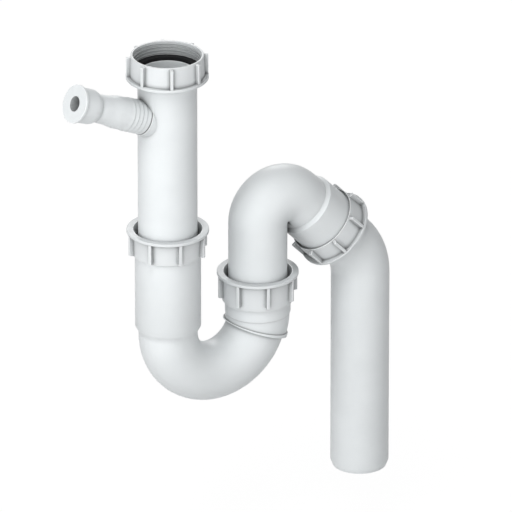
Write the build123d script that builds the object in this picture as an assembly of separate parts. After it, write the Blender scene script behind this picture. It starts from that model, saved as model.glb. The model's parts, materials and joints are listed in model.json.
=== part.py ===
from build123d import *
import os
from math import degrees

# Tubular swivel sink trap for 40 mm waste pipe, in millimetres and degrees. The origin is on the
# inlet's axis, on the top face of the washer that seals against the sink waste. +Z is up, and +X
# points from the inlet towards the outlet. Threads are plain cylinders.

# Pipes and the sockets that they slip into
pipe_d = 40.0
pipe_wall = 2.0
pipe_end_chamfer = 1.0
slip_gap = 0.35
socket_wall = 1.95
stop_gap = 0.6

# Threads: the G 1 1/2 pitch line stands outside the pipe, and the sockets' threads outside the sockets
inlet_thread_step = 3.162
socket_thread_step = 0.3
socket_thread_gap = 0.3
socket_thread_length = 5.5

# What all four nuts share: a thin skirt, a flange and a ring of fins
nut_wall = 1.4
nut_draft = 0.5
nut_flange_reach = 3.2
nut_flange_thickness = 2.1
nut_edge_round = 0.45
fin_count = 8
fin_width = 2.0
fin_step = 0.15
fin_slope = 0.5
pipe_hole_gap = 0.45

# Union nut, washer and pipe flange at the inlet
inlet_rim = 9.5
inlet_lip = 2.0
inlet_fin_end = 0.4
inlet_nut_turn = 19.0
chamber_step = 0.36
chamber_gap = 0.5
washer_thickness = 2.8
washer_hole_gap = 0.3
pipe_flange_thickness = 2.3
seat_gap = 0.1

# Compression nuts on the three sockets, with their slip rings and wedge seals
funnel_depth = 4.4
funnel_reach = 2.9
lip_land = 1.4
skirt_chamfer = 0.7
telescopic_overhang = 2.9
telescopic_fin_end = 0.4
telescopic_nut_turn = 31.0
swivel_overhang = 6.0
swivel_fin_end = 2.6
swivel_nut_turn = 27.5
outlet_overhang = 1.0
outlet_fin_end = 0.5
outlet_nut_turn = 19.7
slip_ring_thickness = 1.2
slip_ring_gap = 0.4
seal_rim = 1.6
seal_depth = 3.0
seal_gap = 0.15
seal_seat_gap = 0.2
seat_depth = 4.5
seat_flare = 1.35

# Hose nozzle on the inlet pipe, from its root on the pipe to its end disc
nozzle_drop = 40.2
nozzle_rise = 23.0
nozzle_bore_d = 10.4
nozzle_bore_draft = 0.4
nozzle_root_d = 24.0
nozzle_root_length = 2.0
nozzle_root_flare = 1.2
ridge_count = 5
ridge_pitch = 3.4
ridge_height = 0.45
ridge_d = 22.3
plain_length = 6.5
cone_length = 8.0
step_d = 19.7
step_length = 4.3
waist_d = 18.1
waist_length = 3.9
flare_length = 6.9
collar_d = 23.8
collar_length = 9.0
disc_d = 26.2
disc_thickness = 1.8

# Heights and lengths along the waterway
inlet_drop = 126.2
inlet_grip = 33.1
sleeve_length = 61.8
taper_length = 4.2
lead_length = 2.3
trap_bend_r = 36.0
wedge_turn = 19.3
bead_width = 1.9
bead_height = 1.0
wedge_step = 1.7
riser_socket_length = 19.7
riser_socket_lap = 0.8
riser_length = 43.7
over_bend_r = 17.5
over_bend_turn = 135.0
neck_length = 8.3
shoulder_length = 2.2
outlet_socket_length = 26.6
outlet_run = 23.3
outlet_bend_r = 36.0
tail_length = 144.2
tail_chamfer = 1.5
tail_chamfer_length = 4.0

# Radii that follow from the sizes above
pipe_r = pipe_d / 2
bore_r = pipe_r - pipe_wall
socket_bore_r = pipe_r + slip_gap
socket_r = socket_bore_r + socket_wall
socket_thread_r = socket_r + socket_thread_step
nut_bore_r = socket_thread_r + socket_thread_gap
inlet_bore_r = pipe_r + inlet_thread_step
nut_flange_r = inlet_bore_r + nut_wall + nut_flange_reach
chamber_r = inlet_bore_r - chamber_step
washer_r = chamber_r - chamber_gap
pipe_hole_r = pipe_r + pipe_hole_gap
wedge_r = pipe_r + wedge_step

# Distances along the nozzle's axis from the pipe's axis
root_end = pipe_r + nozzle_root_length
ridges_end = root_end + ridge_count * ridge_pitch
plain_end = ridges_end + plain_length
cone_end = plain_end + cone_length
step_end = cone_end + step_length
waist_end = step_end + waist_length
collar_start = waist_end + flare_length
disc_start = collar_start + collar_length
nozzle_reach = disc_start + disc_thickness

# Heights above the origin at the inlet
flange_top = -washer_thickness
flange_low = flange_top - pipe_flange_thickness
inlet_lip_top = flange_low - seat_gap
inlet_nut_low = inlet_lip_top - inlet_lip
inlet_pipe_low = -inlet_drop - inlet_grip

# Heights above a socket's mouth, in the stack that a compression nut holds
seal_top = seat_gap + seal_rim
slip_ring_low = seal_top + seat_gap
slip_ring_top = slip_ring_low + slip_ring_thickness
lip_low = slip_ring_top + seat_gap
lip_top = lip_low + lip_land
nut_top = lip_top + funnel_depth


def turned(corners, rounded=(), radius=nut_edge_round):
    """Solid turned about Z from a half section's (radius, height) corners, some of them rounded."""
    section = make_face(Polyline(*corners, close=True))
    if rounded:
        section = fillet([section.vertices().sort_by_distance(corner)[0] for corner in rounded], radius)
    return revolve(Plane.XZ * section, Axis.Z)


def rod(radius, low, high):
    """Round rod on Z between two heights."""
    return turned([(0, low), (radius, low), (radius, high), (0, high)])


def elbow(radius, bend_r, turn):
    """Round bend that leaves the origin along +Z and turns towards +X, with a crease where it is tight."""
    reach = 2 * (radius + bend_r)
    outer_side = Pos(bend_r - reach / 2, 0) * Rectangle(reach, reach)
    return revolve(Circle(radius) & outer_side, Axis((bend_r, 0, 0), (0, 1, 0)), turn)


def past_elbow(start, bend_r, turn):
    """Frame at the far end of a bend that starts in the given frame."""
    return start * Pos(bend_r, 0, 0) * Rot(0, turn, 0) * Pos(-bend_r, 0, 0)


# Frames along the waterway, each with +Z the way that the pipe or the mouth points
telescopic_mouth = Pos(0, 0, -inlet_drop)
sleeve_low = telescopic_mouth * Pos(0, 0, -sleeve_length)
trap_bend_start = sleeve_low * Pos(0, 0, -taper_length - lead_length) * Rot(180, 0, 0)
riser_start = past_elbow(trap_bend_start, trap_bend_r, 180) * Rot(0, 0, 180)
swivel_mouth = riser_start * Pos(0, 0, riser_socket_length)
over_bend_start = swivel_mouth * Pos(0, 0, riser_length)
over_bend_end = past_elbow(over_bend_start, over_bend_r, over_bend_turn)
outlet_socket_start = over_bend_end * Pos(0, 0, neck_length + shoulder_length)
outlet_mouth = outlet_socket_start * Pos(0, 0, outlet_socket_length)
outlet_bend_start = outlet_mouth * Pos(0, 0, outlet_run)
outlet_bend_turn = 180 - over_bend_turn
tail_start = past_elbow(outlet_bend_start, outlet_bend_r, outlet_bend_turn)
nozzle_start = Pos(0, 0, -nozzle_drop) * Rot(0, nozzle_rise - 90, 0)


def finned(body, grip_r, root, end, turn):
    """Nut body with its ring of fins, which run from the flange to a sloped end."""
    slope = fin_slope if end > root else -fin_slope
    fin_r = nut_flange_r - fin_step
    corners = [(grip_r, root), (fin_r, root), (fin_r, end - slope), (grip_r, end)]
    fin = extrude(Plane.XZ * make_face(Polyline(*corners, close=True)), fin_width / 2, both=True)
    return body + PolarLocations(0, fin_count, turn) * fin


def inlet_nut():
    """Union nut: threaded mouth up, chamber for the washer, and a flanged lip under the pipe's flange."""
    skirt_r = inlet_bore_r + nut_wall
    flange_z = inlet_nut_low + nut_flange_thickness
    rim = (skirt_r, inlet_rim)
    flange_edges = [(nut_flange_r, inlet_nut_low), (nut_flange_r, flange_z)]
    body = turned(
        [
            (pipe_hole_r, inlet_nut_low),
            flange_edges[0],
            flange_edges[1],
            (skirt_r + nut_draft, flange_z),
            rim,
            (inlet_bore_r, inlet_rim),
            (inlet_bore_r, 0),
            (chamber_r, 0),
            (chamber_r, inlet_lip_top),
            (pipe_hole_r, inlet_lip_top),
        ],
        [rim, *flange_edges],
    )
    grip_r = inlet_bore_r + nut_wall / 2
    return finned(body, grip_r, flange_z, inlet_rim - inlet_fin_end, inlet_nut_turn)


def inlet_washer():
    """Flat rubber washer that lies on the pipe's flange."""
    hole_r = bore_r + washer_hole_gap
    return turned([(hole_r, flange_top), (washer_r, flange_top), (washer_r, 0), (hole_r, 0)])


def hose_nozzle():
    """Stepped hose nozzle about Z: root boss, ridges, cone, step, waist, trumpet collar and end disc."""
    root_r = nozzle_root_d / 2
    ridge_r = ridge_d / 2
    step_r = step_d / 2
    waist = (waist_d / 2, waist_end)
    collar = (collar_d / 2, collar_start)
    disc_r = disc_d / 2
    side = [(0, 0), (root_r + nozzle_root_flare, 0), (root_r, root_end)]
    for k in range(ridge_count):
        low = root_end + k * ridge_pitch
        side += [(ridge_r, low), (ridge_r + ridge_height, low + ridge_pitch / 4)]
    side += [(ridge_r, ridges_end), (ridge_r, plain_end), (step_r, cone_end), (step_r, step_end), waist]
    flare = TangentArc(collar, waist, tangent=(0, -1))
    back = (collar_d / 2, disc_start)
    tip = [collar, back, (disc_r, disc_start), (disc_r, nozzle_reach), (0, nozzle_reach), (0, 0)]
    return revolve(Plane.XZ * make_face(Polyline(*side) + flare + Polyline(*tip)), Axis.Z)


def inlet_pipe():
    """Straight pipe with its flange, and the nozzle that branches off it."""
    barrel = turned(
        [
            (0, inlet_pipe_low),
            (pipe_r - pipe_end_chamfer, inlet_pipe_low),
            (pipe_r, inlet_pipe_low + pipe_end_chamfer),
            (pipe_r, flange_low),
            (washer_r, flange_low),
            (washer_r, flange_top),
            (0, flange_top),
        ]
    )
    body = barrel + nozzle_start * hose_nozzle()
    mouth_r = nozzle_bore_d / 2
    root_bore_r = mouth_r - nozzle_bore_draft
    nozzle_bore = turned([(0, 0), (root_bore_r, 0), (mouth_r, nozzle_reach), (0, nozzle_reach)])
    return body - rod(bore_r, inlet_pipe_low, flange_top) - nozzle_start * nozzle_bore


def compression_nut(overhang, fin_end, turn):
    """Nut on a socket's mouth: funnel for the pipe, lip over the slip ring, and a threaded skirt."""
    skirt_r = nut_bore_r + nut_wall
    skirt_low = -socket_thread_length - overhang
    flange_z = nut_top - nut_flange_thickness
    open_edge = (skirt_r, skirt_low)
    flange_edges = [(nut_flange_r, nut_top), (nut_flange_r, flange_z)]
    body = turned(
        [
            (pipe_hole_r + funnel_reach, nut_top),
            flange_edges[0],
            flange_edges[1],
            (skirt_r + nut_draft, flange_z),
            open_edge,
            (nut_bore_r + skirt_chamfer, skirt_low),
            (nut_bore_r, skirt_low + skirt_chamfer),
            (nut_bore_r, lip_low),
            (pipe_hole_r, lip_low),
            (pipe_hole_r, lip_top),
        ],
        flange_edges,
    )
    grip_r = nut_bore_r + nut_wall / 2
    return finned(body, grip_r, flange_z, skirt_low + fin_end, turn)


def slip_ring():
    """Thin ring that lets a nut turn without dragging on its seal."""
    hole_r = pipe_r + slip_ring_gap
    edge_r = nut_bore_r - slip_ring_gap
    low, high = slip_ring_low, slip_ring_top
    return turned([(hole_r, low), (edge_r, low), (edge_r, high), (hole_r, high)])


def wedge_seal():
    """Rubber seal: a wedge in the socket's flared mouth, and a rim that lies on the mouth's edge."""
    hole_r = pipe_r + seal_gap
    mouth_r = socket_bore_r + seat_flare - seal_seat_gap
    tip_r = mouth_r - seat_flare * seal_depth / seat_depth
    rim_r = socket_thread_r - seal_seat_gap
    return turned(
        [
            (hole_r, -seal_depth),
            (tip_r, -seal_depth),
            (mouth_r, 0),
            (mouth_r, seat_gap),
            (rim_r, seat_gap),
            (rim_r, seal_top),
            (hole_r, seal_top),
        ]
    )


def socket_outside(length):
    """Outside of a socket that starts at the origin, with its threaded end."""
    thread_low = length - socket_thread_length
    return rod(socket_r, 0, length) + rod(socket_thread_r, thread_low, length)


def socket_inside(length):
    """Bore of a socket that starts at the origin, with the flared seat of its seal."""
    return turned(
        [
            (0, 0),
            (socket_bore_r, 0),
            (socket_bore_r, length - seat_depth),
            (socket_bore_r + seat_flare, length),
            (0, length),
        ]
    )


def taper(low_r, high_r):
    """Taper under the sleeve, down to a straight lead into the bend."""
    lead_low = -taper_length - lead_length
    return turned([(0, lead_low), (low_r, lead_low), (low_r, -taper_length), (high_r, 0), (0, 0)])


def u_bend():
    """Sleeve for the inlet pipe, U bend, bead, thickened end of the bend and threaded riser socket."""
    bead_span = degrees(bead_width / trap_bend_r)
    bead_angle = 180 - wedge_turn
    bead_start = past_elbow(trap_bend_start, trap_bend_r, bead_angle - bead_span / 2)
    wedge_start = past_elbow(trap_bend_start, trap_bend_r, bead_angle)
    riser_low = riser_start * Pos(0, 0, -riser_socket_lap)
    outside = (
        sleeve_low * socket_outside(sleeve_length)
        + sleeve_low * taper(pipe_r, socket_r)
        + trap_bend_start * elbow(pipe_r, trap_bend_r, bead_angle)
        + bead_start * elbow(wedge_r + bead_height, trap_bend_r, bead_span)
        + wedge_start * elbow(wedge_r, trap_bend_r, wedge_turn)
        + riser_low * socket_outside(riser_socket_length + riser_socket_lap)
    )
    waterway = (
        sleeve_low * socket_inside(sleeve_length)
        + sleeve_low * taper(bore_r, socket_bore_r)
        + trap_bend_start * elbow(bore_r, trap_bend_r, bead_angle)
        + wedge_start * elbow(wedge_r - pipe_wall, trap_bend_r, wedge_turn)
        + riser_start * socket_inside(riser_socket_length)
    )
    return outside - waterway


def over_bend():
    """Riser spigot, tight elbow over the top, neck, shoulder and slanted threaded socket."""
    spigot_low = stop_gap - riser_socket_length - riser_length
    shoulder_top = neck_length + shoulder_length
    spigot = turned(
        [
            (0, spigot_low),
            (pipe_r - pipe_end_chamfer, spigot_low),
            (pipe_r, spigot_low + pipe_end_chamfer),
            (pipe_r, 0),
            (0, 0),
        ]
    )
    neck = turned([(0, 0), (pipe_r, 0), (pipe_r, neck_length), (socket_r, shoulder_top), (0, shoulder_top)])
    outside = (
        over_bend_start * spigot
        + over_bend_start * elbow(pipe_r, over_bend_r, over_bend_turn)
        + over_bend_end * neck
        + outlet_socket_start * socket_outside(outlet_socket_length)
    )
    waterway = (
        over_bend_start * rod(bore_r, spigot_low, 0)
        + over_bend_start * elbow(bore_r, over_bend_r, over_bend_turn)
        + over_bend_end * rod(bore_r, 0, shoulder_top)
        + outlet_socket_start * socket_inside(outlet_socket_length)
    )
    return outside - waterway


def outlet_pipe():
    """Slanted spigot, bend and straight tail, with a long chamfer on the tail's end."""
    spigot_low = stop_gap - outlet_socket_length - outlet_run
    spigot = turned(
        [
            (0, spigot_low),
            (pipe_r - pipe_end_chamfer, spigot_low),
            (pipe_r, spigot_low + pipe_end_chamfer),
            (pipe_r, 0),
            (0, 0),
        ]
    )
    tail = turned(
        [
            (0, 0),
            (pipe_r, 0),
            (pipe_r, tail_length - tail_chamfer_length),
            (pipe_r - tail_chamfer, tail_length),
            (0, tail_length),
        ]
    )
    outside = (
        outlet_bend_start * spigot
        + outlet_bend_start * elbow(pipe_r, outlet_bend_r, outlet_bend_turn)
        + tail_start * tail
    )
    waterway = (
        outlet_bend_start * rod(bore_r, spigot_low, 0)
        + outlet_bend_start * elbow(bore_r, outlet_bend_r, outlet_bend_turn)
        + tail_start * rod(bore_r, 0, tail_length)
    )
    return outside - waterway


pieces = {
    "inlet_nut": inlet_nut(),
    "inlet_washer": inlet_washer(),
    "inlet_pipe": inlet_pipe(),
    "u_bend": u_bend(),
    "over_bend": over_bend(),
    "outlet_pipe": outlet_pipe(),
}
joints = {
    "telescopic": (telescopic_mouth, telescopic_overhang, telescopic_fin_end, telescopic_nut_turn),
    "swivel": (swivel_mouth, swivel_overhang, swivel_fin_end, swivel_nut_turn),
    "outlet": (outlet_mouth, outlet_overhang, outlet_fin_end, outlet_nut_turn),
}
for name, (mouth, overhang, fin_end, turn) in joints.items():
    pieces[name + "_nut"] = mouth * compression_nut(overhang, fin_end, turn)
    pieces[name + "_slip_ring"] = mouth * slip_ring()
    pieces[name + "_seal"] = mouth * wedge_seal()

os.makedirs("parts", exist_ok=True)
for name, piece in pieces.items():
    export_step(piece, "parts/" + name + ".step")
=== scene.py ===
import json
import math

import bmesh
import bpy
from mathutils import Matrix, Vector
from mathutils.geometry import intersect_point_line

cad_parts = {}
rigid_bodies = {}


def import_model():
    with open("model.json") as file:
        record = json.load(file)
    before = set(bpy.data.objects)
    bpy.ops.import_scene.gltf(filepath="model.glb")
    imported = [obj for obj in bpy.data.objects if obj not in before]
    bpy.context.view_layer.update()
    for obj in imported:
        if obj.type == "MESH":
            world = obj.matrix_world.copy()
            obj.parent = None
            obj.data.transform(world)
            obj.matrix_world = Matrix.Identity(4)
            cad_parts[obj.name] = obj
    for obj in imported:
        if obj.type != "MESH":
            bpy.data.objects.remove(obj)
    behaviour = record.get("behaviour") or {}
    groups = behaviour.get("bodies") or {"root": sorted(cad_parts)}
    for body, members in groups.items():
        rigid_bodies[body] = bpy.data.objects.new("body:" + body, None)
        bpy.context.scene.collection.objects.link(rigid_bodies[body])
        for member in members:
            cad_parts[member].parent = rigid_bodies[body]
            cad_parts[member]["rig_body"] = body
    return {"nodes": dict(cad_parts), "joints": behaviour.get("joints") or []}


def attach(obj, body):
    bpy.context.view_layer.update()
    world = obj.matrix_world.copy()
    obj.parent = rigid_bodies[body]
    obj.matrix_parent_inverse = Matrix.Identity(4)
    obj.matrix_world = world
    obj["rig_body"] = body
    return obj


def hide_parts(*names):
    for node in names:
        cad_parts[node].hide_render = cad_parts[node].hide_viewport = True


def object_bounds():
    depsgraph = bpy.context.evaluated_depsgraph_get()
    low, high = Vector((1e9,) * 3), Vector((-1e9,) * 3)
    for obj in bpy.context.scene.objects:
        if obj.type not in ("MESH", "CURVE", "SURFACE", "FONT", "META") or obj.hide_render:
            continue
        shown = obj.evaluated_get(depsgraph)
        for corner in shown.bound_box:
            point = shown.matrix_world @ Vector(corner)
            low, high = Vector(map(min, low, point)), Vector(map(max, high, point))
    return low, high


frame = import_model()
cad_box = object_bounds()

mm = 0.001

# Moulded skins: what is merged, what is shaded crisp, and which outer corners are rounded
merge_distance = 0.001 * mm
flat_angle = math.radians(1.0)
crisp_angle = math.radians(35)
corner_angle = math.radians(50)
edge_round = 0.25 * mm
edge_segments = 3

# Rounding beside narrow faces, and how it changes along a corner
room_share = 0.3
least_weight = 0.1
straight_angle = math.radians(130)
weight_step = 1.2
weight_rounds = 12

# Painted shade in the creases and hollows of the moulded pieces: their colour is darkened where walls close
# in
crease_reach = 3 * mm
crease_closed = 0.4
crease_shade = 0.5
hollow_reach = 25 * mm
hollow_closed = 0.15
hollow_shade = 0.4
open_skin = 0.95
openness_samples = 8

# Noise in the finishes, with scales for each metre
noise_low = 0.3
noise_high = 0.7
cloud_scale = 46
cloud_detail = 4
polish_scale = 170
polish_detail = 3
swell_scale = 75
swell_detail = 2
grain_detail = 3
grain_roughness = 0.6
bump_strength = 0.35

# Inlet thread, inside the union nut
inlet_thread_pitch = 2.309 * mm
inlet_thread_turns = 3.5
inlet_thread_root_r = 23.35 * mm
inlet_thread_height = 0.95 * mm
inlet_thread_low = 0.35 * mm

# Threads of the compression nuts and of the sockets that they screw on
socket_thread_pitch = 3.0 * mm
socket_thread_turns = 1.5
socket_thread_root_r = 22.5 * mm
socket_thread_low = -5.1 * mm
nut_thread_root_r = 23.0 * mm
nut_thread_low = socket_thread_low + socket_thread_pitch / 2
thread_height = 0.36 * mm

# Section and winding of every thread ridge
inward = -1.0
outward = 1.0
ridge_root_share = 0.62
ridge_crest_share = 0.2
ridge_round = 0.1 * mm
ridge_round_points = 2
ridge_points_per_turn = 96
ridge_runout = 0.09
ridge_end_share = 0.15

# Photograph's view
view_target = Vector((70.6, 0, -155.2)) * mm
view_azimuth = math.radians(-33)
view_elevation = math.radians(24.2)
view_width = 346 * mm
lens_mm = 800
sensor_mm = 36
nearest_seen = 0.5
furthest_seen = 50

# Stage: even fill from all sides, and a pale floor whose glow is seen but lights nothing
fill_colour = (0.97, 0.98, 1.0, 1)
fill_strength = 0.12
white = (1, 1, 1, 1)
floor_gap = 60 * mm
floor_r = 3.0
floor_corners = 96
floor_colour = (0.6, 0.6, 0.6, 1)
floor_glow = 1.14
floor_glow_share = 0.82

# Lamps: name, degrees left of the camera, degrees up, metres away, metres across, watts
lamps = (
    ("front_light", 12, 16, 2.2, 1.6, 15.5),
    ("left_light", 52, 22, 2.2, 1.6, 19),
    ("right_light", -32, 16, 2.2, 1.6, 10.5),
    ("top_light", 10, 58, 2.2, 0.9, 14),
    ("back_light", 180, 25, 2.4, 1.0, 17),
)


def new_node(tree, kind, **settings):
    """New node in a tree, with its plain settings."""
    made = tree.nodes.new(kind)
    for name, value in settings.items():
        setattr(made, name, value)
    return made


def noise(tree, coordinates, scale, detail, roughness=0.5):
    """Noise on the piece's own coordinates."""
    made = new_node(tree, "ShaderNodeTexNoise")
    made.inputs["Scale"].default_value = scale
    made.inputs["Detail"].default_value = detail
    made.inputs["Roughness"].default_value = roughness
    tree.links.new(coordinates, made.inputs["Vector"])
    return made.outputs["Fac"]


def openness(tree, reach, closed, shade, alone):
    """1 on open skin, down to a shade where walls close in within a reach: alone, the piece's own."""
    open_air = new_node(tree, "ShaderNodeAmbientOcclusion", samples=openness_samples, only_local=alone)
    open_air.inputs["Distance"].default_value = reach
    share = new_node(tree, "ShaderNodeMapRange")
    share.inputs["From Min"].default_value = closed
    share.inputs["From Max"].default_value = open_skin
    share.inputs["To Min"].default_value = shade
    tree.links.new(open_air.outputs["AO"], share.inputs["Value"])
    return share.outputs["Result"]


def darkened_by_painted_shade(tree, colour, alone):
    """Colour with painted shade: darker in creases, such as beside a fin, and in hollows, such as a bore."""
    both = new_node(tree, "ShaderNodeMath", operation="MULTIPLY")
    tree.links.new(openness(tree, crease_reach, crease_closed, crease_shade, alone), both.inputs[0])
    tree.links.new(openness(tree, hollow_reach, hollow_closed, hollow_shade, alone), both.inputs[1])
    scaled = new_node(tree, "ShaderNodeVectorMath", operation="SCALE")
    tree.links.new(colour, scaled.inputs["Vector"])
    tree.links.new(both.outputs[0], scaled.inputs["Scale"])
    return scaled.outputs["Vector"]


def bump(tree, height, distance):
    """Bump of a given depth from a height."""
    made = new_node(tree, "ShaderNodeBump")
    made.inputs["Strength"].default_value = bump_strength
    made.inputs["Distance"].default_value = distance
    tree.links.new(height, made.inputs["Height"])
    return made


def moulded_finish(name, colours, gloss, swell, grain_depth, grain_scale, surface, alone=True):
    """Moulded finish: clouded colour with painted shade in creases and hollows, uneven gloss, and a fine
    grain with slow swells as bump.
    """
    material = bpy.data.materials.new(name)
    material.use_nodes = True
    tree = material.node_tree
    shader = tree.nodes["Principled BSDF"]
    for socket, value in surface.items():
        shader.inputs[socket].default_value = value
    coordinates = new_node(tree, "ShaderNodeTexCoord").outputs["Object"]

    tint = new_node(tree, "ShaderNodeValToRGB")
    for stop, place, colour in zip(tint.color_ramp.elements, (noise_low, noise_high), colours):
        stop.position = place
        stop.color = (*colour, 1)
    tree.links.new(noise(tree, coordinates, cloud_scale, cloud_detail), tint.inputs["Fac"])
    # Base colour darkened by painted shade in creases and hollows
    tree.links.new(darkened_by_painted_shade(tree, tint.outputs["Color"], alone), shader.inputs["Base Color"])

    polish = new_node(tree, "ShaderNodeMapRange")
    polish.inputs["From Min"].default_value = noise_low
    polish.inputs["From Max"].default_value = noise_high
    polish.inputs["To Min"].default_value = gloss[0]
    polish.inputs["To Max"].default_value = gloss[1]
    tree.links.new(noise(tree, coordinates, polish_scale, polish_detail), polish.inputs["Value"])
    tree.links.new(polish.outputs["Result"], shader.inputs["Roughness"])

    swells = bump(tree, noise(tree, coordinates, swell_scale, swell_detail), swell)
    grain = bump(tree, noise(tree, coordinates, grain_scale, grain_detail, grain_roughness), grain_depth)
    tree.links.new(swells.outputs["Normal"], grain.inputs["Normal"])
    tree.links.new(grain.outputs["Normal"], shader.inputs["Normal"])
    return material


white_plastic = moulded_finish(
    "white_plastic",
    colours=((0.795, 0.825, 0.835), (0.825, 0.855, 0.865)),
    gloss=(0.36, 0.46),
    swell=0.06 * mm,
    grain_depth=0.012 * mm,
    grain_scale=2600,
    surface={"IOR": 1.49, "Specular IOR Level": 0.2},
)
# Painted highlight: a lighter, glossier white for the rounded edges
painted_edge_highlight = moulded_finish(
    "painted_edge_highlight",
    colours=((0.92, 0.94, 0.945), (0.94, 0.955, 0.96)),
    gloss=(0.28, 0.36),
    swell=0.02 * mm,
    grain_depth=0.01 * mm,
    grain_scale=2600,
    surface={},
)
# A little greyer than white_plastic; with alone=False its painted shade also darkens it where the pipe and
# socket inside close in
nut_plastic = moulded_finish(
    "nut_plastic",
    colours=((0.745, 0.77, 0.78), (0.775, 0.80, 0.81)),
    gloss=(0.36, 0.46),
    swell=0.03 * mm,
    grain_depth=0.012 * mm,
    grain_scale=2600,
    surface={"Specular IOR Level": 0.2},
    alone=False,
)
# Painted shade: a dark grey copy of the white plastic for the threads inside the nuts, standing for the
# shade in there
thread_painted_shade = moulded_finish(
    "thread_painted_shade",
    colours=((0.42, 0.44, 0.445), (0.48, 0.50, 0.505)),
    gloss=(0.42, 0.52),
    swell=0.02 * mm,
    grain_depth=0.012 * mm,
    grain_scale=2600,
    surface={},
)
black_rubber = moulded_finish(
    "black_rubber",
    colours=((0.010, 0.010, 0.011), (0.022, 0.022, 0.023)),
    gloss=(0.58, 0.74),
    swell=0.05 * mm,
    grain_depth=0.05 * mm,
    grain_scale=1500,
    surface={"Specular IOR Level": 0.15},
)
natural_plastic = moulded_finish(
    "natural_plastic",
    colours=((0.74, 0.72, 0.66), (0.80, 0.78, 0.72)),
    gloss=(0.28, 0.38),
    swell=0.04 * mm,
    grain_depth=0.01 * mm,
    grain_scale=2600,
    surface={},
)
finishes = {"white_plastic": white_plastic, "black_rubber": black_rubber, "natural_plastic": natural_plastic}


def slot_of(node):
    """Name of the record's material slot that a node fills."""
    if node == "inlet_washer" or node.endswith("_seal"):
        return "black_rubber"
    if node.endswith("_slip_ring"):
        return "natural_plastic"
    return "white_plastic"


def placed(name, mesh, body, finish):
    """Finished piece that rides a body and fills a slot."""
    piece = bpy.data.objects.new(name, mesh)
    bpy.context.scene.collection.objects.link(piece)
    mesh.materials.clear()
    mesh.materials.append(finish)
    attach(piece, body)
    return piece


def gap(point, edge):
    """Distance from a point to an edge."""
    start, end = (corner.co for corner in edge.verts)
    share = intersect_point_line(point, start, end)[1]
    return (start.lerp(end, min(1, max(0, share))) - point).length


def room_beside(edge, skin):
    """Width of a face beside one of its edges: a triangle's height, if its tip is on a crisp edge."""
    middle = (edge.verts[0].co + edge.verts[1].co) / 2
    apart = [other for other in skin.edges if not set(other.verts) & set(edge.verts)]
    if apart:
        return min(gap(middle, other) for other in apart)
    tip = next(corner for corner in skin.verts if corner not in edge.verts)
    if all(other.smooth for other in tip.link_edges):
        return math.inf
    return 2 * skin.calc_area() / edge.calc_length()


def carried_on(edge):
    """Edges that carry on from an edge's ends in nearly the same line."""
    for corner in edge.verts:
        back = edge.other_vert(corner).co - corner.co
        for other in corner.link_edges:
            onward = other.other_vert(corner).co - corner.co
            if other is not edge and back.angle(onward, 0) > straight_angle:
                yield other


def weigh_corners(work):
    """Weights the outer corners for rounding, less beside narrow faces, with no jumps along a corner."""
    weight = work.edges.layers.float.new("bevel_weight_edge")
    corners = [edge for edge in work.edges if edge.is_convex and edge.calc_face_angle(0) > corner_angle]
    for edge in corners:
        room = min(room_beside(edge, skin) for skin in edge.link_faces)
        edge[weight] = min(1, room_share * room / edge_round)
    for _ in range(weight_rounds):
        for edge in corners:
            for other in carried_on(edge):
                if other[weight] > 0:
                    edge[weight] = min(edge[weight], weight_step * other[weight])
    for edge in corners:
        if edge[weight] < least_weight:
            edge[weight] = 0


def merged_mesh(node):
    """Copy of a node's mesh, merged into one skin, with its outer corners weighted for rounding."""
    work = bmesh.new()
    work.from_mesh(frame["nodes"][node].data)
    bmesh.ops.remove_doubles(work, verts=work.verts, dist=merge_distance)
    bmesh.ops.dissolve_limit(work, angle_limit=flat_angle, verts=work.verts, edges=work.edges)
    for edge in work.edges:
        edge.smooth = edge.calc_face_angle(0) <= crisp_angle
    for skin in work.faces:
        skin.smooth = True
    weigh_corners(work)
    mesh = bpy.data.meshes.new(node + "_moulded")
    work.to_mesh(mesh)
    work.free()
    return mesh


def round_edges(piece, with_painted_highlight):
    """Rounds a moulded piece's weighted edges, and keeps the shading of the walls beside them; when asked,
    the rounds take a lighter finish as a painted highlight.
    """
    rounding = piece.modifiers.new("edge_round", "BEVEL")
    rounding.limit_method = "WEIGHT"
    rounding.width = edge_round
    rounding.segments = edge_segments
    rounding.use_clamp_overlap = False
    rounding.harden_normals = True
    # The rounds get the lighter finish, a painted highlight
    if with_painted_highlight:
        rounding.material = len(piece.data.materials)
        piece.data.materials.append(painted_edge_highlight)


for node, source in frame["nodes"].items():
    slot = slot_of(node)
    finish = nut_plastic if node.endswith("_nut") else finishes[slot]
    moulded = placed(node + "_moulded", merged_mesh(node), source["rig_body"], finish)
    round_edges(moulded, slot == "white_plastic")
    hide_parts(node)


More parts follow.
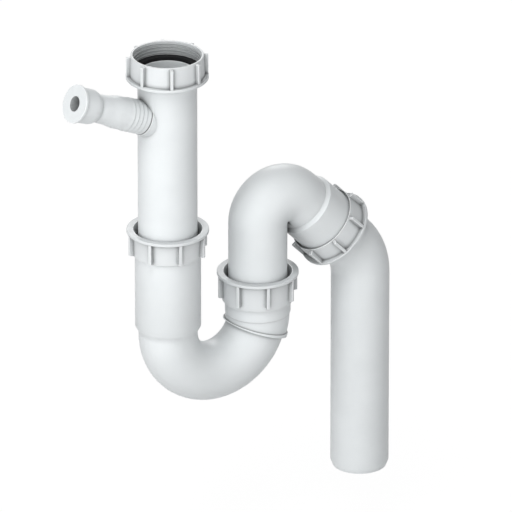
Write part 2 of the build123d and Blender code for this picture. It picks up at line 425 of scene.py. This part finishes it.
def thread_tree():
    """Thread ridge wound on a right-handed helix about Z, with named inputs for its sizes."""
    tree = bpy.data.node_groups.new("thread_ridge", "GeometryNodeTree")
    sockets = tree.interface
    for name, kind in (
        ("Root Radius", "NodeSocketFloat"),
        ("Ridge Height", "NodeSocketFloat"),
        ("Side", "NodeSocketFloat"),
        ("Pitch", "NodeSocketFloat"),
        ("Turns", "NodeSocketFloat"),
        ("Root Width", "NodeSocketFloat"),
        ("Crest Width", "NodeSocketFloat"),
        ("Crest Round", "NodeSocketFloat"),
        ("Runout", "NodeSocketFloat"),
        ("Points Per Turn", "NodeSocketInt"),
        ("Material", "NodeSocketMaterial"),
    ):
        sockets.new_socket(name, in_out="INPUT", socket_type=kind)
    sockets.new_socket("Geometry", in_out="OUTPUT", socket_type="NodeSocketGeometry")
    given = new_node(tree, "NodeGroupInput").outputs
    result = new_node(tree, "NodeGroupOutput")

    def joined(source, target):
        tree.links.new(source, target)

    def maths(operation, *values):
        made = new_node(tree, "ShaderNodeMath", operation=operation)
        for socket, value in zip(made.inputs, values):
            if isinstance(value, (int, float)):
                socket.default_value = value
            else:
                joined(value, socket)
        return made.outputs[0]

    # Helix
    helix = new_node(tree, "GeometryNodeCurveSpiral")
    joined(given["Points Per Turn"], helix.inputs["Resolution"])
    joined(given["Turns"], helix.inputs["Rotations"])
    joined(given["Root Radius"], helix.inputs["Start Radius"])
    joined(given["Root Radius"], helix.inputs["End Radius"])
    joined(maths("MULTIPLY", given["Turns"], given["Pitch"]), helix.inputs["Height"])
    helix.inputs["Reverse"].default_value = True
    upright = new_node(tree, "GeometryNodeSetCurveNormal", mode="Z_UP")
    joined(helix.outputs["Curve"], upright.inputs["Curve"])

    # Section, with its root on the helix and its crest towards the given side
    section = new_node(tree, "GeometryNodeCurvePrimitiveQuadrilateral", mode="TRAPEZOID")
    joined(given["Root Width"], section.inputs["Bottom Width"])
    joined(given["Crest Width"], section.inputs["Top Width"])
    joined(given["Ridge Height"], section.inputs["Height"])
    section.inputs["Offset"].default_value = 0
    rounding = new_node(tree, "GeometryNodeFilletCurve", mode="POLY")
    rounding.inputs["Count"].default_value = ridge_round_points
    joined(given["Crest Round"], rounding.inputs["Radius"])
    joined(section.outputs["Curve"], rounding.inputs["Curve"])
    lean = new_node(tree, "ShaderNodeCombineXYZ")
    joined(maths("MULTIPLY", given["Side"], -math.pi / 2), lean.inputs["Z"])
    shift = new_node(tree, "ShaderNodeCombineXYZ")
    half_height = maths("MULTIPLY", given["Ridge Height"], 0.5)
    joined(maths("MULTIPLY", half_height, given["Side"]), shift.inputs["X"])
    turned = new_node(tree, "GeometryNodeTransform")
    joined(rounding.outputs["Curve"], turned.inputs["Geometry"])
    joined(shift.outputs["Vector"], turned.inputs["Translation"])
    joined(lean.outputs["Vector"], turned.inputs["Rotation"])

    # Run-out at both ends
    along = new_node(tree, "GeometryNodeSplineParameter").outputs["Factor"]
    from_end = maths("MINIMUM", along, maths("SUBTRACT", 1.0, along))
    fade = new_node(tree, "ShaderNodeMapRange", interpolation_type="SMOOTHSTEP")
    joined(from_end, fade.inputs["Value"])
    joined(given["Runout"], fade.inputs["From Max"])
    fade.inputs["To Min"].default_value = ridge_end_share

    # Ridge
    ridge = new_node(tree, "GeometryNodeCurveToMesh")
    joined(upright.outputs["Curve"], ridge.inputs["Curve"])
    joined(turned.outputs["Geometry"], ridge.inputs["Profile Curve"])
    joined(fade.outputs["Result"], ridge.inputs["Scale"])
    ridge.inputs["Fill Caps"].default_value = True
    smooth = new_node(tree, "GeometryNodeSetShadeSmooth")
    joined(ridge.outputs["Mesh"], smooth.inputs["Geometry"])
    realized = new_node(tree, "GeometryNodeRealizeInstances")
    joined(smooth.outputs["Geometry"], realized.inputs["Geometry"])
    painted = new_node(tree, "GeometryNodeSetMaterial")
    joined(realized.outputs["Geometry"], painted.inputs["Geometry"])
    joined(given["Material"], painted.inputs["Material"])
    joined(painted.outputs["Geometry"], result.inputs["Geometry"])
    return tree


thread_ridge = thread_tree()


def thread_mesh(name, sizes):
    """Plain mesh of one thread ridge about Z, from the tree's named inputs."""
    carrier = bpy.data.objects.new(name + "_carrier", bpy.data.meshes.new(name + "_carrier"))
    bpy.context.scene.collection.objects.link(carrier)
    winding = carrier.modifiers.new("winding", "NODES")
    winding.node_group = thread_ridge
    for item in thread_ridge.interface.items_tree:
        if item.in_out == "INPUT":
            winding[item.identifier] = sizes[item.name]
    graph = bpy.context.evaluated_depsgraph_get()
    mesh = bpy.data.meshes.new_from_object(carrier.evaluated_get(graph))
    bpy.data.objects.remove(carrier)
    mesh.name = name
    return mesh


def add_thread(name, body, finish, place, root_r, height, side, pitch, turns):
    """Thread ridge on a body, wound about a mouth's own axis."""
    mesh = thread_mesh(
        name,
        {
            "Root Radius": root_r,
            "Ridge Height": height,
            "Side": side,
            "Pitch": pitch,
            "Turns": turns,
            "Root Width": pitch * ridge_root_share,
            "Crest Width": pitch * ridge_crest_share,
            "Crest Round": ridge_round,
            "Runout": ridge_runout,
            "Points Per Turn": ridge_points_per_turn,
            "Material": finish,
        },
    )
    mesh.transform(place)
    placed(name, mesh, body, finish)


def mouth_frame(joint):
    """Frame on a mouth, with its Z along the axis that the nut turns about."""
    upright = Vector(joint["axis"]).to_track_quat("Z", "Y").to_matrix().to_4x4()
    return Matrix.Translation(joint["pos_m"]) @ upright


joints = {joint["name"]: joint for joint in frame["joints"]}
add_thread(
    "inlet_thread",
    "union_nut",
    thread_painted_shade,
    Matrix.Translation((0, 0, inlet_thread_low)),
    inlet_thread_root_r,
    inlet_thread_height,
    inward,
    inlet_thread_pitch,
    inlet_thread_turns,
)
for mouth in ("telescopic", "swivel", "outlet"):
    mouth_place = mouth_frame(joints[mouth + "_nut_turn"])
    add_thread(
        mouth + "_socket_thread",
        joints[mouth + "_nut_lift"]["parent"],
        white_plastic,
        mouth_place @ Matrix.Translation((0, 0, socket_thread_low)),
        socket_thread_root_r,
        thread_height,
        outward,
        socket_thread_pitch,
        socket_thread_turns,
    )
    add_thread(
        mouth + "_nut_thread",
        joints[mouth + "_nut_turn"]["child"],
        thread_painted_shade,
        mouth_place @ Matrix.Translation((0, 0, nut_thread_low)),
        nut_thread_root_r,
        thread_height,
        inward,
        socket_thread_pitch,
        socket_thread_turns,
    )


def seen_directly(tree):
    """1 for camera, glossy and transmission rays, and 0 for the light that falls on the object."""
    rays = new_node(tree, "ShaderNodeLightPath").outputs
    either = new_node(tree, "ShaderNodeMath", operation="MAXIMUM")
    tree.links.new(rays["Is Camera Ray"], either.inputs[0])
    tree.links.new(rays["Is Glossy Ray"], either.inputs[1])
    any_of = new_node(tree, "ShaderNodeMath", operation="MAXIMUM")
    tree.links.new(either.outputs[0], any_of.inputs[0])
    tree.links.new(rays["Is Transmission Ray"], any_of.inputs[1])
    return any_of.outputs[0]


def studio_world():
    """White surround to look at, with a low even light from all sides."""
    world = bpy.data.worlds.new("studio")
    world.use_nodes = True
    tree = world.node_tree
    fill = tree.nodes["Background"]
    fill.inputs["Color"].default_value = fill_colour
    fill.inputs["Strength"].default_value = fill_strength
    surround = new_node(tree, "ShaderNodeBackground")
    surround.inputs["Color"].default_value = white
    surround.inputs["Strength"].default_value = 1
    mix = new_node(tree, "ShaderNodeMixShader")
    tree.links.new(seen_directly(tree), mix.inputs["Fac"])
    tree.links.new(fill.outputs["Background"], mix.inputs[1])
    tree.links.new(surround.outputs["Background"], mix.inputs[2])
    tree.links.new(mix.outputs["Shader"], tree.nodes["World Output"].inputs["Surface"])
    bpy.context.scene.world = world


def pale_floor():
    """Floor finish, near white to look at, with a faint shadow."""
    material = bpy.data.materials.new("pale_floor")
    material.use_nodes = True
    tree = material.node_tree
    tree.nodes.remove(tree.nodes["Principled BSDF"])
    paper = new_node(tree, "ShaderNodeBsdfDiffuse")
    paper.inputs["Color"].default_value = floor_colour
    glow = new_node(tree, "ShaderNodeEmission")
    glow.inputs["Strength"].default_value = floor_glow
    share = new_node(tree, "ShaderNodeMath", operation="MULTIPLY")
    share.inputs[1].default_value = floor_glow_share
    tree.links.new(seen_directly(tree), share.inputs[0])
    mix = new_node(tree, "ShaderNodeMixShader")
    tree.links.new(share.outputs[0], mix.inputs["Fac"])
    tree.links.new(paper.outputs["BSDF"], mix.inputs[1])
    tree.links.new(glow.outputs["Emission"], mix.inputs[2])
    tree.links.new(mix.outputs["Shader"], tree.nodes["Material Output"].inputs["Surface"])
    return material


def studio_floor():
    """Round floor below the tail's end."""
    work = bmesh.new()
    bmesh.ops.create_circle(work, cap_ends=True, segments=floor_corners, radius=floor_r)
    mesh = bpy.data.meshes.new("studio_floor")
    work.to_mesh(mesh)
    work.free()
    height = cad_box[0].z - floor_gap
    mesh.transform(Matrix.Translation((view_target.x, view_target.y, height)))
    mesh.materials.append(pale_floor())
    floor = bpy.data.objects.new("studio_floor", mesh)
    bpy.context.scene.collection.objects.link(floor)


def towards(azimuth, elevation):
    """Direction from the object to a point round it, azimuth 0 at the front."""
    level = math.cos(elevation)
    return Vector((math.sin(azimuth) * level, -math.cos(azimuth) * level, math.sin(elevation)))


def soft_box(name, left_of_camera, elevation, distance, side, power):
    """Large square lamp that faces the object."""
    lamp = bpy.data.lights.new(name, "AREA")
    lamp.shape = "SQUARE"
    lamp.size = side
    lamp.energy = power
    aim = towards(view_azimuth - math.radians(left_of_camera), math.radians(elevation))
    holder = bpy.data.objects.new(name, lamp)
    holder.location = view_target + aim * distance
    holder.rotation_mode = "QUATERNION"
    holder.rotation_quaternion = aim.to_track_quat("Z", "Y")
    bpy.context.scene.collection.objects.link(holder)


def photo_camera():
    """Long lens at the photograph's angle."""
    lens = bpy.data.cameras.new("photo_camera")
    lens.lens = lens_mm
    lens.sensor_width = sensor_mm
    lens.sensor_fit = "HORIZONTAL"
    lens.clip_start = nearest_seen
    lens.clip_end = furthest_seen
    back = towards(view_azimuth, view_elevation)
    camera = bpy.data.objects.new("photo_camera", lens)
    camera.location = view_target + back * (view_width * lens_mm / sensor_mm)
    camera.rotation_mode = "QUATERNION"
    camera.rotation_quaternion = back.to_track_quat("Z", "Y")
    bpy.context.scene.collection.objects.link(camera)
    bpy.context.scene.camera = camera


studio_world()
studio_floor()
for lamp in lamps:
    soft_box(*lamp)
photo_camera()
bpy.context.scene.view_settings.view_transform = "Standard"
